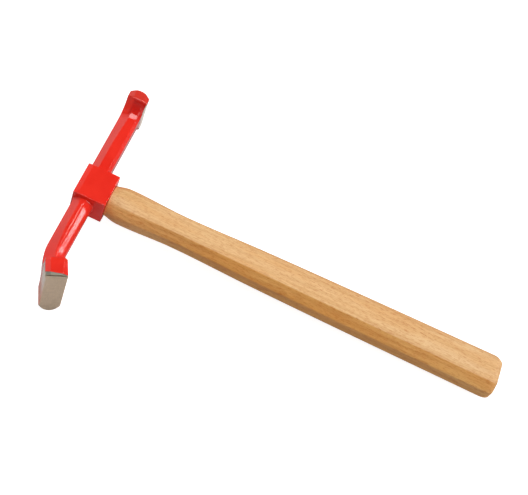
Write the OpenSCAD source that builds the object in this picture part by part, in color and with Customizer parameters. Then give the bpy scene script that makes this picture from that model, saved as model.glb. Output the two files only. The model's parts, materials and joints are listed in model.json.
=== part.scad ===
// Long two-ended hammer with a hickory handle, lying on its side as it rests on a bench.
// Every module draws in the tool's own frame: X along the handle towards the butt,
// Y along the head, Z across it, with the origin in the middle of the eye.
// laid() then turns and lifts that frame onto the resting plane Z = 0.

/* [Eye block] */
// Length of the eye block along the handle
block_len = 24; // [22:0.5:28]
// Reach of the eye block from the middle of the eye towards the straight end
block_up = 14; // [12:0.5:15]
// Reach of the eye block from the middle of the eye towards the bent end
block_down = 13; // [12:0.5:15]
// Width of the eye block across the head
block_wide = 22.3; // [21:0.1:26]
// Long axis of the oval eye, along the head
eye_high = 19; // [16:0.5:20]
// Short axis of the oval eye, across the head
eye_wide = 14; // [12:0.5:15]

/* [Arms] */
// Thickness of both arms, measured along the handle
arm_thick = 14.4; // [12:0.2:15]
// Width of both arms across the head
arm_wide = 15; // [12:0.5:18]
// Shift of the arms from the handle axis towards the blind side of the eye
arm_shift = 3.3; // [0:0.1:4]

/* [Straight end] */
// Reach of the straight end from the handle axis to the top of its crown
straight_reach = 86; // [75:0.5:100]
// Width of the straight end across the head
straight_wide = 35; // [30:1:42]
// Thickness of the straight end, measured along the handle
straight_thick = 15; // [14:0.2:17]
// Depth of its lip along the head
straight_lip = 8.5; // [5:0.5:9]
// Length of the hollow curve from the arm up to the lip
straight_flare = 11.5; // [9:0.5:14]
// Height of the crown on the end face
straight_crown = 3.2; // [1:0.1:4]

/* [Bent end] */
// Distance from the handle axis to the corner of the bend
bend_reach = 61; // [56:1:75]
// Angle of the bend towards the butt
bend_angle = 25; // [10:1:30]
// Radius of the bend at the middle of the arm
bend_radius = 30; // [20:1:40]
// Length of the bent end beyond the corner
bent_reach = 27; // [25:0.5:32]
// Width of the bent end across the head
bent_wide = 50; // [36:1:56]
// Thickness of the bent end, measured along the handle
bent_thick = 15.4; // [14:0.2:17]
// Depth of its lip
bent_lip = 14; // [8:0.5:14]
// Length of the hollow curve from the arm up to the lip
bent_flare = 8; // [7:0.5:10]

/* [Handle] */
// Distance from the middle of the eye to the end of the butt
handle_reach = 312; // [290:1:360]
// Depth of the butt, measured along the head
butt_high = 31.6; // [28:0.2:36]
// Width of the butt across the head
butt_wide = 22.8; // [20:0.2:26]
// Length of the rounded rim of the butt
butt_rim = 6; // [4:0.5:8]

/* [Wedges] */
// Depth of the wooden wedge in the end of the handle
wedge_deep = 18; // [12:1:20]
// Thickness of the wooden wedge at its outer end
wedge_thick = 3.2; // [2:0.1:4]
// Depth of the steel wedge
steel_deep = 12; // [8:1:14]
// Thickness of the steel wedge at its outer end
steel_thick = 2.4; // [1.5:0.1:3]
// Width of the steel wedge across the eye
steel_wide = 10; // [8:0.5:11]

/* [Hidden] */

// Gap between two pieces that are driven together
drive_gap = 0.02;
// Length by which an arm is sunk into the wall of the eye block
root_sink = 1.5;
// Fillet where an arm leaves the eye block: its length, and its swell as [along the handle, across the head]
root_len = 5;
root_swell = [1.3, 1];
root_steps = 3;
// Chamfers of the eye block along its blind edges, along the handle and across the head
block_chamfer_x = 3.5;
block_chamfer_z = 0.5;
// Chamfers of the arms as [along the handle, across the head], on the blind and on the butt side
straight_blind_cut = [5.3, 3.8];
straight_butt_cut = [2.2, 2.4];
bent_blind_cut = [5.4, 3.8];
bent_butt_cut = [5.4, 3.8];
// Corner chamfers of the two wide ends, on the upper and on the lower side as the tool lies
straight_up_cut = [4, 0.9];
straight_down_cut = [3.4, 2];
bent_up_cut = [3.4, 1.2];
bent_down_cut = [3.4, 6.5];
// Height of the round end on the lower side of the bent end
bent_down_round = 1.4;
// Steps along a hollow curve, a bend and the handle
flare_steps = 7;
bend_steps = 6;
handle_step = 14;
rim_steps = 4;
// Share of a quarter ellipse that a hollow curve covers, and the depth of the lip's inner edge
flare_share = 0.97;
lip_edge = 0.3;
// Points around a handle section
handle_sides = 24;

arm_x = -arm_shift;
arm_half = arm_wide / 2;
straight_half = straight_wide / 2;
bent_half = bent_wide / 2;

// Value between a and b
function mix(a, b, k) = a + (b - a) * k;

// Height of a quarter-ellipse hollow curve that starts flat at 0 and ends steep at 1
function hollow(t) = 1 - sqrt(1 - pow(t * flare_share, 2));

// Chamfered outline of a section. cuts holds the chamfers at its (-x, +z), (-x, -z), (+x, -z) and
// (+x, +z) corners, and round is the height by which its lower side is rounded.
function outline(half_x, half_z, cuts, round) = [
    for (k = [0 : 4]) [mix(half_x - cuts[3][0], cuts[0][0] - half_x, k / 4), half_z],
    for (k = [0 : 2]) [-half_x, mix(half_z - cuts[0][1], cuts[1][1] - half_z, k / 2)],
    for (k = [0 : 4])
        [mix(cuts[1][0] - half_x, half_x - cuts[2][0], k / 4), round * pow(k / 2 - 1, 2) - half_z],
    for (k = [0 : 2]) [half_x, mix(cuts[2][1] - half_z, half_z - cuts[3][1], k / 2)]
];

// Solid through a list of rings with the same number of points, closed by a fan around
// heel, the middle of its first ring, and one around tip, the middle of its last
module loft(rings, heel, tip) {
    n = len(rings[0]);
    last = len(rings) - 1;
    points = concat([for (ring = rings) each ring], [heel, tip]);
    sides = [
        for (i = [0 : last - 1], j = [0 : n - 1])
            let (a = i * n + j, b = i * n + (j + 1) % n)
                each [[a, b, b + n], [a, b + n, a + n]]
    ];
    start = [for (j = [0 : n - 1]) [(j + 1) % n, j, len(points) - 2]];
    end = [for (j = [0 : n - 1]) [last * n + j, last * n + (j + 1) % n, len(points) - 1]];
    polyhedron(points, concat(sides, start, end), convexity = 4);
}

// Wide end of an arm as [half thickness, half width, its cuts, the cuts of its bar, round]. The
// bent arm is drawn with x towards the blind side, the straight one with x towards the butt.
straight_pad = [
    straight_thick / 2,
    straight_half,
    [straight_up_cut, straight_down_cut, straight_down_cut, straight_up_cut],
    [straight_blind_cut, straight_blind_cut, straight_butt_cut, straight_butt_cut],
    0
];
bent_pad = [
    bent_thick / 2,
    bent_half,
    [bent_up_cut, bent_down_cut, bent_down_cut, bent_up_cut],
    [bent_butt_cut, bent_butt_cut, bent_blind_cut, bent_blind_cut],
    bent_down_round
];

// Section of an arm at distance s along it, where k runs from 0 on the bar to 1 on the wide end:
// [distance, half thickness, half width, cuts, round]
function arm_row(s, k, pad) = [
    s,
    mix(arm_thick / 2, pad[0], k),
    mix(arm_half, pad[1], k),
    mix(pad[3], pad[2], k),
    pad[4] * k
];

// Sections of the fillet where an arm leaves the eye block at the distance from, swollen by share
// of root_swell
function root_row(s, share, pad) =
    [s, arm_thick / 2 + root_swell[0] * share, arm_half + root_swell[1] * share, pad[3], 0];
function root_rows(from, pad) = [
    root_row(from - root_sink, 1, pad),
    for (i = [0 : root_steps])
        root_row(from + root_len * i / root_steps, hollow(1 - i / root_steps), pad)
];

// Sections of the hollow curve and the lip of an arm that is reach long
function pad_rows(reach, lip, flare, pad) = [
    for (i = [0 : flare_steps])
        arm_row(reach - lip - flare * (1 - i / flare_steps), hollow(i / flare_steps), pad),
    arm_row(reach - lip + lip_edge, 1, pad),
    arm_row(reach, 1, pad)
];

// Ring of the straight arm at one row, its end crowned by crown
function straight_ring(row, crown) = [
    for (p = outline(row[1], row[2], row[3], row[4]))
        [arm_x + p[0], row[0] + crown * (1 - pow(p[0] / row[1], 2)), p[1]]
];

// Length of the tangent and of the arc of the bend
bend_tangent = bend_radius * tan(bend_angle / 2);
bend_arc = bend_radius * bend_angle * PI / 180;
bend_start = bend_reach - bend_tangent;
bent_length = bend_start + bend_arc + bent_reach - bend_tangent;

// Angle and middle of the bent arm at a distance s along it
function bend_turn(s) = bend_angle * min(1, max(0, (s - bend_start) / bend_arc));
function bend_mid(s) =
    let (turn = bend_turn(s), on_arc = min(max(0, s - bend_start), bend_arc))
    let (past = max(0, s - bend_start - bend_arc))
    [
        arm_x + bend_radius * (1 - cos(turn)) + past * sin(turn),
        -(min(s, bend_start) + bend_radius * sin(turn) + past * cos(turn))
    ];

// Ring of the bent arm at one row
function bent_ring(row) =
    let (turn = bend_turn(row[0]), mid = bend_mid(row[0]))
    [
        for (p = outline(row[1], row[2], row[3], row[4]))
            [mid[0] - p[0] * cos(turn), mid[1] - p[0] * sin(turn), p[1]]
    ];

// Sections through the bend, as far as the start of the hollow curve
bend_rows = [
    for (i = [0 : bend_steps])
        let (s = bend_start + bend_arc * i / bend_steps)
            if (s < bent_length - bent_lip - bent_flare - 1) arm_row(s, 0, bent_pad)
];

// Key sections of the handle: distance from the eye, half depth, half width
handle_keys = [
    [block_len / 2, 11.7, 9.4],
    [block_len / 2 + 10, 13.8, 10.8],
    [62, 11.8, 9.5],
    [126, 13.5, 10.3],
    [200, 14.7, 10.8],
    [handle_reach - butt_rim, butt_high / 2, butt_wide / 2]
];
// Distance over which the oval shoulder turns into the eight-sided grip
facet_from = 14;
facet_to = 52;
// Flat share of the broad and the narrow sides of the grip
flat_broad = 0.62;
flat_narrow = 0.4;

// Smooth curve through column c of the handle's key sections
function key_slope(i, c) =
    let (lo = max(0, i - 1), hi = min(len(handle_keys) - 1, i + 1))
    (handle_keys[hi][c] - handle_keys[lo][c]) / (handle_keys[hi][0] - handle_keys[lo][0]);
function key_index(x) =
    max([0, for (i = [0 : len(handle_keys) - 2]) if (handle_keys[i][0] <= x) i]);
function handle_curve(x, c) =
    let (i = key_index(x), a = handle_keys[i], b = handle_keys[i + 1], d = b[0] - a[0])
    let (t = min(1, (x - a[0]) / d), t2 = t * t, t3 = t2 * t)
    a[c] * (2 * t3 - 3 * t2 + 1) + b[c] * (3 * t2 - 2 * t3)
        + d * (key_slope(i, c) * (t3 - 2 * t2 + t) + key_slope(i + 1, c) * (t3 - t2));

// Radius share of an eight-sided outline and of an ellipse in direction a
function grip_share(a) =
    let (u = abs(cos(a)), v = abs(sin(a)))
    let (slope_u = (1 - flat_narrow), slope_v = (1 - flat_broad))
    min(1 / max(u, 0.001), 1 / max(v, 0.001), (1 - flat_broad * flat_narrow) / (u * slope_u + v * slope_v));

// Ring of the handle at x with half depth half_y and half width half_z
function handle_ring(x, half_y, half_z) =
    let (facet = min(1, max(0, (x - facet_from) / (facet_to - facet_from))))
    [
        for (i = [0 : handle_sides - 1])
            let (a = -(i + 0.5) * 360 / handle_sides, share = 1 + facet * (grip_share(a) - 1))
                [x, half_y * share * cos(a), half_z * share * sin(a)]
    ];

// Turn of the rounded rim in degrees and how far it draws in
rim_turn = 75;
rim_inset = butt_rim * 0.55 * (1 - cos(rim_turn));
handle_body_end = handle_reach - butt_rim;
handle_rows = ceil((handle_body_end - block_len / 2) / handle_step);

// The three points on which the tool lies: the bent end, the straight end and the butt
bent_inner = bend_mid(bent_length - bent_lip);
touch_bent = [bent_inner[0], bent_inner[1], -bent_half];
touch_straight = [
    arm_x + straight_thick / 2 - straight_down_cut[0],
    straight_reach - straight_crown * pow(1 - 2 * straight_down_cut[0] / straight_thick, 2),
    -straight_half
];
touch_butt = [handle_body_end, flat_narrow * butt_high / 2, -butt_wide / 2];

// Roll about X and pitch about Y that bring those three points level
rest_normal = cross(touch_bent - touch_butt, touch_straight - touch_butt);
rest_roll = atan2(rest_normal[1], -rest_normal[2]);
rest_up = rest_normal[1] * sin(rest_roll) - rest_normal[2] * cos(rest_roll);
rest_pitch = atan2(rest_normal[0], rest_up);
function turned(p) =
    let (y = p[1] * cos(rest_roll) + p[2] * sin(rest_roll))
    let (z = -p[1] * sin(rest_roll) + p[2] * cos(rest_roll))
    [p[0] * cos(rest_pitch) + z * sin(rest_pitch), y, -p[0] * sin(rest_pitch) + z * cos(rest_pitch)];

// Outermost corners of the tool as it lies, and the middle of its outline on the bench
bent_tip = bend_mid(bent_length);
corners = [
    turned([-block_len / 2, block_up, block_chamfer_z - block_wide / 2]),
    turned([handle_reach, 0, butt_wide / 2 - rim_inset]),
    turned([
        bent_tip[0] - bent_thick / 2 * cos(bend_angle),
        bent_tip[1] - bent_thick / 2 * sin(bend_angle),
        bent_down_cut[1] - bent_half
    ]),
    turned([arm_x, straight_reach, straight_half])
];
rest_mid_x = (corners[0][0] + corners[1][0]) / 2;
rest_mid_y = (corners[2][1] + corners[3][1]) / 2;
rest_lift = -turned(touch_bent)[2];

// Places the tool's own frame in its resting pose
module laid() {
    translate([-rest_mid_x, -rest_mid_y, rest_lift])
        rotate([-rest_roll, rest_pitch, 0])
            children();
}

// Straight prism along X of the oval eye, reduced by gap on every side
module oval(from_x, to_x, gap) {
    radius = eye_wide / 2 - gap;
    run = eye_high - eye_wide;
    translate([from_x, 0, 0])
        rotate([90, 0, 90])
            linear_extrude(to_x - from_x) {
                square([run, 2 * radius], center = true);
                for (side = [-1, 1])
                    translate([side * run / 2, 0])
                        circle(r = radius, $fn = 64);
            }
}

// Prism along Y that tapers from thick at the blind face of the eye to a thin edge at depth deep
module taper(deep, thick, wide, gap) {
    outer = -block_len / 2;
    rotate([90, 0, 0])
        linear_extrude(wide, center = true)
            polygon([
                [outer - gap, thick / 2 + gap],
                [outer - gap, -thick / 2 - gap],
                [outer + deep + gap, -thick / 12 - gap],
                [outer + deep + gap, thick / 12 + gap]
            ]);
}

module wooden_wedge_blank(gap) {
    taper(wedge_deep, wedge_thick, eye_high + 1, gap);
}

module steel_wedge_blank(gap) {
    rotate([90, 0, 0])
        taper(steel_deep, steel_thick, steel_wide + 2 * gap, gap);
}

// Forged eye block with chamfers along the blind side
module eye_block() {
    x = block_len / 2;
    z = block_wide / 2;
    translate([0, block_up, 0])
        rotate([90, 0, 0])
            linear_extrude(block_up + block_down)
                polygon([
                    [x, z], [-x + block_chamfer_x, z], [-x, z - block_chamfer_z],
                    [-x, -z + block_chamfer_z], [-x + block_chamfer_x, -z], [x, -z]
                ]);
}

module straight_arm() {
    rim = straight_reach - straight_crown;
    rows = concat(
        root_rows(block_up, straight_pad),
        pad_rows(rim, straight_lip - straight_crown, straight_flare, straight_pad)
    );
    last = len(rows) - 1;
    loft(
        [for (i = [0 : last]) straight_ring(rows[i], i == last ? straight_crown : 0)],
        [arm_x, block_up - root_sink, 0],
        [arm_x, straight_reach, 0]
    );
}

module bent_arm() {
    rows = concat(root_rows(block_down, bent_pad), bend_rows, pad_rows(bent_length, bent_lip, bent_flare, bent_pad));
    tip = bend_mid(bent_length);
    loft(
        [for (row = rows) bent_ring(row)],
        [arm_x, root_sink - block_down, 0],
        [tip[0], tip[1], 0]
    );
}

module head() {
    color("#ee3228")
        laid()
            difference() {
                union() {
                    eye_block();
                    straight_arm();
                    bent_arm();
                }
                oval(-block_len / 2 - 1, block_len / 2 + 1, 0);
            }
}

module handle_body() {
    from_x = block_len / 2;
    run = handle_body_end - from_x;
    body = [
        for (i = [0 : handle_rows])
            let (x = from_x + run * i / handle_rows)
                handle_ring(x, handle_curve(x, 1), handle_curve(x, 2))
    ];
    rim = [
        for (i = [1 : rim_steps])
            let (a = rim_turn * i / rim_steps, inset = rim_inset * (1 - cos(a)) / (1 - cos(rim_turn)))
                handle_ring(
                    handle_body_end + butt_rim * sin(a) / sin(rim_turn),
                    butt_high / 2 - inset,
                    butt_wide / 2 - inset
                )
    ];
    loft(concat(body, rim), [from_x, 0, 0], [handle_reach, 0, 0]);
}

module handle() {
    color("#e4b67c")
        laid()
            difference() {
                union() {
                    handle_body();
                    oval(-block_len / 2, block_len / 2 + 2, drive_gap);
                }
                wooden_wedge_blank(drive_gap);
                steel_wedge_blank(drive_gap);
            }
}

module wooden_wedge() {
    color("#c99a5e")
        laid()
            difference() {
                intersection() {
                    wooden_wedge_blank(0);
                    oval(-block_len / 2, block_len / 2, drive_gap);
                }
                steel_wedge_blank(drive_gap);
            }
}

module steel_wedge() {
    color("#9a948c")
        laid()
            steel_wedge_blank(0);
}

head();
handle();
wooden_wedge();
steel_wedge();
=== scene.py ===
import json
import math

import bmesh
import bpy
from mathutils import Matrix, Vector


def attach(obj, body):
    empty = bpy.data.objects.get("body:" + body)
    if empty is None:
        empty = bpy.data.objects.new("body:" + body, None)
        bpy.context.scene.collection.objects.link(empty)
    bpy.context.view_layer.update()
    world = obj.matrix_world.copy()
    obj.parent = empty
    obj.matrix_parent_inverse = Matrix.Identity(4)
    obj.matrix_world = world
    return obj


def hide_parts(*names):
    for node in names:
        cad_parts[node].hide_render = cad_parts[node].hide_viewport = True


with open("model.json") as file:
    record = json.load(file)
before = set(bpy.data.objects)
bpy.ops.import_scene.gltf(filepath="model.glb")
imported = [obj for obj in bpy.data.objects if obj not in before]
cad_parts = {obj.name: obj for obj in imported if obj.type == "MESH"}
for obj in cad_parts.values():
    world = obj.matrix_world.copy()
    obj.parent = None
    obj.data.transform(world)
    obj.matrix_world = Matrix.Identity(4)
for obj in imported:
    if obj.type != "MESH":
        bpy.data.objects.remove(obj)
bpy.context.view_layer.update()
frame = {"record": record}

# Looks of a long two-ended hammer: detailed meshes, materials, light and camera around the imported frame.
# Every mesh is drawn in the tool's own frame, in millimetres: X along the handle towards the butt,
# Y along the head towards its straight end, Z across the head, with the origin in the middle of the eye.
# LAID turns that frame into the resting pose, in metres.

MM = 0.001

# ---------------- dimensions, in millimetres

# Eye block and oval eye.
BLOCK_LEN = 24.0
BLOCK_UP = 14.0
BLOCK_DOWN = 13.0
BLOCK_WIDE = 22.3
BLOCK_CUT_X = 3.5
BLOCK_CUT_Z = 0.5
BLOCK_EDGE = 0.4
EYE_HIGH = 19.0
EYE_WIDE = 14.0
EYE_EDGE = 0.5

# Both arms, with their swell and fillets at the eye block. Every cut is (along X, along Z).
ARM_THICK = 14.4
ARM_WIDE = 15.0
ARM_X = -3.3
ARM_EDGE = 0.8
ROOT_LEN = 7.0
ROOT_BLIND = 0.7
ROOT_BUTT = 0.5
ROOT_FILLET = 0.7
ROOT_SIDE_FILLET = 0.25
ROOT_BEHIND = 0.15

# Straight arm and its wide end. From BLIND_WIDENS_FROM on, the blind cuts grow by a share of the distance.
BLIND_WIDENS_FROM = 40.0
STRAIGHT_REACH = 86.0
STRAIGHT_WIDE = 35.0
STRAIGHT_THICK = 15.0
STRAIGHT_LIP = 8.5
STRAIGHT_FLARE = 11.5
STRAIGHT_CROWN = 3.2
STRAIGHT_BLIND_CUT = (5.3, 3.8)
STRAIGHT_BUTT_CUT = (2.2, 2.4)
STRAIGHT_BLIND_WIDENS = 0.05
STRAIGHT_UP_CUT = (4.0, 0.9)
STRAIGHT_DOWN_CUT = (3.4, 2.0)

# Bent arm and its wide end.
BEND_REACH = 61.0
BEND_ANGLE = math.radians(25)
BEND_RADIUS = 30.0
BENT_REACH = 27.0
BENT_WIDE = 50.0
BENT_THICK = 15.4
BENT_LIP = 14.0
BENT_FLARE = 8.0
BENT_BLIND_CUT = (5.4, 3.8)
BENT_BLIND_WIDENS = 0.10
BENT_BUTT_CUT = (5.8, 4.06)
BENT_BUTT_EDGE = 4.2
BENT_SIDE_EDGE = 5.3
BENT_UP_CUT = (3.4, 1.2)
BENT_BUTT_SIDE_THINNER = 0.6
BENT_UP_BACK_CUT = (2.2, 3.0)
BENT_DOWN_CUT = (3.4, 6.5)
BENT_DOWN_ROUND = 1.4
DOWN_ROUND_POWER = 8

LIP_EDGE = 0.5
LIP_DOWN_EDGE = 5.0
# Shares of a flare: how much of a quarter circle its hollow curve uses, the straight part of the rise that
# leaves a slight kink at the bar, and the small step at the edge of the lip.
FLARE_SHARE = 0.97
FLARE_KINK = 0.15
FLARE_STEP = 0.02

# Handle. Its keys are (distance along X, half height, half width), and its outline turns eight-sided
# between FACET_FROM and FACET_TO.
HANDLE_REACH = 312.0
BUTT_HIGH = 31.6
BUTT_WIDE = 22.5
BUTT_RIM = 6.0
RIM_TURN = math.radians(75)
HANDLE_KEYS = [
    (12.0, 11.7, 9.4),
    (22.0, 13.8, 10.8),
    (62.0, 11.8, 9.5),
    (126.0, 13.5, 10.3),
    (200.0, 14.7, 10.75),
    (306.0, 15.8, 11.25),
]
FACET_FROM = 14.0
FACET_TO = 52.0
FLAT_BROAD = 0.62
FLAT_NARROW = 0.4
FACET_SHARPNESS = 180.0
HEEL_EDGE = 0.4
BUTT_SHORT = 0.02
RIM_DRAW = 0.55

# Wedges, their slots and the end of the tenon.
WEDGE_DEEP = 18.0
WEDGE_THICK = 3.2
STEEL_DEEP = 12.0
STEEL_THICK = 2.4
STEEL_WIDE = 10.0
DRIVE_GAP = 0.02
TENON_RECESS = 0.35
TENON_EDGE = 0.2
WEDGE_RECESS = 0.15
WEDGE_SHORT = 0.35
WOOD_EDGE = 0.2
STEEL_EDGE = 0.25

# ---------------- the tool's frame in the row frame

def laid_matrix():
    """The tool's frame, read from the mounts on the eye block and the grip."""
    mounts = {m["name"]: m for m in frame["record"]["mounts"]}
    side_up = mounts["eye_side_up"]
    side_down = mounts["eye_side_down"]
    tool_x = Vector(mounts["grip"]["axis"]).normalized()
    tool_z = Vector(side_up["axis"]).normalized()
    tool_y = tool_z.cross(tool_x).normalized()
    middle = (Vector(side_up["pos_m"]) + Vector(side_down["pos_m"])) / 2
    origin = middle - tool_x * BLOCK_CUT_X / 2 * MM
    turn = Matrix((tool_x, tool_y, tool_z)).transposed().to_4x4()
    return Matrix.Translation(origin) @ turn @ Matrix.Scale(MM, 4)


LAID = laid_matrix()

# ---------------- mesh helpers

WELD = 0.004
NORMAL_WEIGHT = 80


def closed_mesh(name, points, faces):
    """An object with a closed mesh, from points in the tool's frame."""
    mesh = bpy.data.meshes.new(name)
    mesh.from_pydata([LAID @ Vector(p) for p in points], [], faces)
    mesh.validate()
    shape = bmesh.new()
    shape.from_mesh(mesh)
    bmesh.ops.remove_doubles(shape, verts=shape.verts, dist=WELD * MM)
    bmesh.ops.recalc_face_normals(shape, faces=shape.faces)
    shape.to_mesh(mesh)
    shape.free()
    result = bpy.data.objects.new(name, mesh)
    bpy.context.scene.collection.objects.link(result)
    return result


def add_piece(name, mesh_data, node, material):
    """A closed mesh, given as its points and faces, becomes a piece that stands for a CAD node."""
    piece = closed_mesh(name, *mesh_data)
    for face in piece.data.polygons:
        face.use_smooth = True
    piece.data.materials.append(material)
    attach(piece, "root")
    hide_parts(node)
    return piece


def weigh_normals(piece):
    """Large flat faces keep their own normal, so that rounded edges shade as they should."""
    weighted = piece.modifiers.new("even_normals", "WEIGHTED_NORMAL")
    weighted.mode = "FACE_AREA"
    weighted.weight = NORMAL_WEIGHT
    weighted.keep_sharp = True


def stitch(ring_a, ring_b):
    """Quads between two closed rings of vertex numbers of the same length."""
    count = len(ring_a)
    return [(ring_a[j], ring_a[(j + 1) % count], ring_b[(j + 1) % count], ring_b[j]) for j in range(count)]


def cap_grid(points, faces, ring, start, across, place):
    """Closes a ring with a grid of quads. The ring's corner start begins a side of across quads."""
    count = len(ring)
    down = count // 2 - across

    def at(j):
        return ring[(start + j) % count]

    low = [at(j) for j in range(across + 1)]
    right = [at(across + j) for j in range(down + 1)]
    high = [at(across + down + j) for j in range(across + 1)][::-1]
    left = [at(-j) for j in range(down + 1)]
    grid = [[None] * (across + 1) for _ in range(down + 1)]
    for j in range(across + 1):
        grid[0][j] = low[j]
        grid[down][j] = high[j]
    for i in range(down + 1):
        grid[i][0] = left[i]
        grid[i][across] = right[i]
    vector = [Vector(p) for p in points]
    for i in range(1, down):
        v = i / down
        for j in range(1, across):
            u = j / across
            spot = (
                vector[low[j]] * (1 - v) + vector[high[j]] * v
                + vector[left[i]] * (1 - u) + vector[right[i]] * u
                - vector[low[0]] * (1 - u) * (1 - v) - vector[low[across]] * u * (1 - v)
                - vector[high[0]] * (1 - u) * v - vector[high[across]] * u * v
            )
            grid[i][j] = len(points)
            points.append(place(spot))
    for i in range(down):
        for j in range(across):
            faces.append((grid[i][j], grid[i][j + 1], grid[i + 1][j + 1], grid[i + 1][j]))


def unmoved(spot):
    return spot


def tube(rings):
    """Points and faces of a closed mesh through rings of points, with grids of quads over both ends."""
    count = len(rings[0])
    points = [p for ring in rings for p in ring]
    numbers = [list(range(i * count, (i + 1) * count)) for i in range(len(rings))]
    faces = []
    for a, b in zip(numbers, numbers[1:]):
        faces += stitch(a, b)
    cap_grid(points, faces, numbers[0], count // 8, count // 4, unmoved)
    cap_grid(points, faces, numbers[-1], count // 8, count // 4, unmoved)
    return points, faces


def round_about(count):
    """Cosines and sines of count angles evenly round a circle, half a step off its axes."""
    angles = [(i + 0.5) * 2 * math.pi / count for i in range(count)]
    return [(math.cos(angle), math.sin(angle)) for angle in angles]


def lerp(a, b, k):
    return a + (b - a) * k


def quarter_round(t):
    """Shares 1 - cos and 1 - sin of a quarter turn at t, for an edge or a fillet in rows."""
    angle = math.pi / 2 * t
    return 1 - math.cos(angle), 1 - math.sin(angle)


def hollow(t):
    """Height of a hollow curve that starts flat at 0 and ends steep at 1."""
    return 1 - math.sqrt(1 - (t * FLARE_SHARE) ** 2)

# ---------------- sections of the head

# Numbers of rows or points in each stretch, apart from BAR_STEP, which is the gap between rows in
# millimetres, and the two shares.
LIP_EDGE_STEPS = 5
LIP_STEPS = 8
FLARE_STEPS = 24
BAR_STEP = 1.6
ROOT_STEPS = 6
FILLET_STEPS = 4
BLOCK_EDGE_STEPS = 4
BLOCK_STEPS = 10
MOUTH_STEPS = 4
MOUTH_SHARES = (0.4, 0.75, 1.0)
CORNER_POINTS = 7
CORNER_SHARE = 0.42
# Corners of a section towards the butt: those on its broad sides and those on its narrow side.
BUTT_FLAT_CORNERS = (0, 5)
BUTT_SIDE_CORNERS = (6, 7)
FLAT_POINTS = {"across": 5, "cut": 3, "along": 9}
SIDES = ["across", "cut", "along", "cut", "across", "cut", "along", "cut"]


def octagon(low_x, high_x, half_z, cuts):
    """Corners of a chamfered section. The cuts, each (along x, along z), are at its (-x, +z), (-x, -z),
    (+x, -z) and (+x, +z) corners."""
    a, b, c, d = cuts
    return [
        Vector((high_x - d[0], half_z)),
        Vector((low_x + a[0], half_z)),
        Vector((low_x, half_z - a[1])),
        Vector((low_x, -half_z + b[1])),
        Vector((low_x + b[0], -half_z)),
        Vector((high_x - c[0], -half_z)),
        Vector((high_x, -half_z + c[1])),
        Vector((high_x, half_z - d[1])),
    ]


def inset(corners, depth):
    """The same section with every side moved inwards by depth."""
    count = len(corners)
    sides = []
    for i in range(count):
        a, b = corners[i], corners[(i + 1) % count]
        run = (b - a).normalized()
        inward = Vector((-run.y, run.x))
        sides.append((a + inward * depth, run))
    result = []
    for i in range(count):
        (p, r), (q, s) = sides[i - 1], sides[i]
        cross = r.x * s.y - r.y * s.x
        k = ((q - p).x * s.y - (q - p).y * s.x) / cross
        result.append(p + r * k)
    return result


def ring_of(corners, radius, down_radius, butt_radius, side_radius):
    """Points round a section with rounded corners: radius at its upper ones and down_radius at its lower
    ones. Towards the butt they are at least butt_radius on the broad sides and side_radius on the narrow
    one. Each side keeps its own number of points."""
    count = len(corners)
    ends = []
    for i in range(count):
        p = corners[i]
        back = corners[i - 1] - p
        on = corners[(i + 1) % count] - p
        turn = math.pi - back.angle(on)
        rounding = radius if p.y > 0 else down_radius
        if i in BUTT_FLAT_CORNERS:
            rounding = max(rounding, butt_radius)
        if i in BUTT_SIDE_CORNERS:
            rounding = max(rounding, side_radius)
        reach = min(rounding * math.tan(turn / 2), CORNER_SHARE * back.length, CORNER_SHARE * on.length)
        ends.append((p + back.normalized() * reach, p, p + on.normalized() * reach))
    ring = []
    for i in range(count):
        a, p, b = ends[i]
        for k in range(CORNER_POINTS):
            t = k / (CORNER_POINTS - 1)
            ring.append(a * (1 - t) ** 2 + p * 2 * t * (1 - t) + b * t * t)
        c = ends[(i + 1) % count][0]
        flat = FLAT_POINTS[SIDES[i]]
        for k in range(1, flat + 1):
            ring.append(b.lerp(c, k / (flat + 1)))
    return ring


def side_start(side):
    """Number of the first point of a side, at the end of the rounding before it."""
    return sum(CORNER_POINTS + FLAT_POINTS[SIDES[i]] for i in range(side)) + CORNER_POINTS - 1


def mirrored(blind, butt):
    """Cuts that are the same above and below."""
    return [blind, blind, butt, butt]


BLOCK_SECTION = octagon(
    -BLOCK_LEN / 2,
    BLOCK_LEN / 2,
    BLOCK_WIDE / 2,
    mirrored((BLOCK_CUT_X, BLOCK_CUT_Z), (BLOCK_EDGE, BLOCK_EDGE)),
)


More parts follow.
